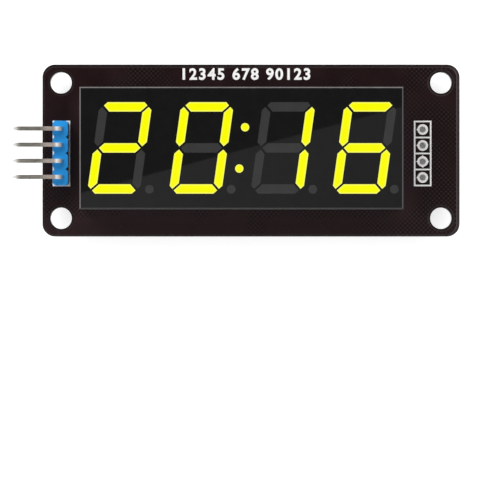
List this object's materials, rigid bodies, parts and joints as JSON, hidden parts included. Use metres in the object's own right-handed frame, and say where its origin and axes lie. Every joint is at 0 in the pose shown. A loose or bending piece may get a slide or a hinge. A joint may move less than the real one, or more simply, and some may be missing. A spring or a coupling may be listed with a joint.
{
  "type": "seven segment display module",
  "caption": "Seven segment clock display in yellow on a black driver board, with a bent pin header, spare holes and a driver chip on the back.",
  "frame": {"origin": "midway between the four mounting holes, on the board's back face", "axes": "+X along the digits, away from the header; +Y up the digits; +Z out of the display's face"},
  "size_m": [0.0706, 0.0274, 0.0122],
  "materials": {
    "board": "satin",
    "tinned_copper": "satin",
    "white_ink": "matte",
    "grey_ink": "matte",
    "yellow_ink": "matte",
    "black_housing": "satin",
    "inner_board": "satin",
    "dice": "satin",
    "dark_resin": "satin",
    "lit_resin": "satin",
    "pin_tin": "satin",
    "solder": "gloss",
    "blue_plastic": "satin",
    "chip_mould": "matte",
    "tan_ceramic": "matte",
    "white_ceramic": "matte",
    "black_glaze": "gloss",
    "pale_lens": "gloss"
  },
  "bodies": {
    "root": {"printed_circuit_board": "board", "plated_holes": "tinned_copper", "surface_pads": "tinned_copper", "silkscreen_front": "white_ink", "silkscreen_back": "white_ink", "legend_squares": "grey_ink", "colour_mark": "yellow_ink", "display_housing": "black_housing", "display_base_board": "inner_board", "led_dice": "dice", "display_pins": "pin_tin", "display_pin_solder": "solder", "digit_1_segment_a": "lit_resin", "digit_1_segment_b": "lit_resin", "digit_1_segment_c": "dark_resin", "digit_1_segment_d": "lit_resin", "digit_1_segment_e": "lit_resin", "digit_1_segment_f": "dark_resin", "digit_1_segment_g": "lit_resin", "digit_2_segment_a": "lit_resin", "digit_2_segment_b": "lit_resin", "digit_2_segment_c": "lit_resin", "digit_2_segment_d": "lit_resin", "digit_2_segment_e": "lit_resin", "digit_2_segment_f": "lit_resin", "digit_2_segment_g": "dark_resin", "digit_3_segment_a": "dark_resin", "digit_3_segment_b": "lit_resin", "digit_3_segment_c": "lit_resin", "digit_3_segment_d": "dark_resin", "digit_3_segment_e": "dark_resin", "digit_3_segment_f": "dark_resin", "digit_3_segment_g": "dark_resin", "digit_4_segment_a": "lit_resin", "digit_4_segment_b": "dark_resin", "digit_4_segment_c": "lit_resin", "digit_4_segment_d": "lit_resin", "digit_4_segment_e": "lit_resin", "digit_4_segment_f": "lit_resin", "digit_4_segment_g": "lit_resin", "digit_1_point": "dark_resin", "digit_2_point": "dark_resin", "digit_3_point": "dark_resin", "digit_4_point": "dark_resin", "colon_upper": "lit_resin", "colon_lower": "lit_resin", "header_body": "blue_plastic", "header_pins": "pin_tin", "header_solder": "solder", "driver_chip_body": "chip_mould", "driver_chip_leads": "pin_tin", "driver_chip_solder": "solder", "capacitor_bodies": "tan_ceramic", "resistor_bodies": "white_ceramic", "resistor_tops": "black_glaze", "power_led_base": "white_ceramic", "power_led_lens": "pale_lens", "component_terminals": "pin_tin", "component_solder": "solder"}
  },
  "joints": []
}
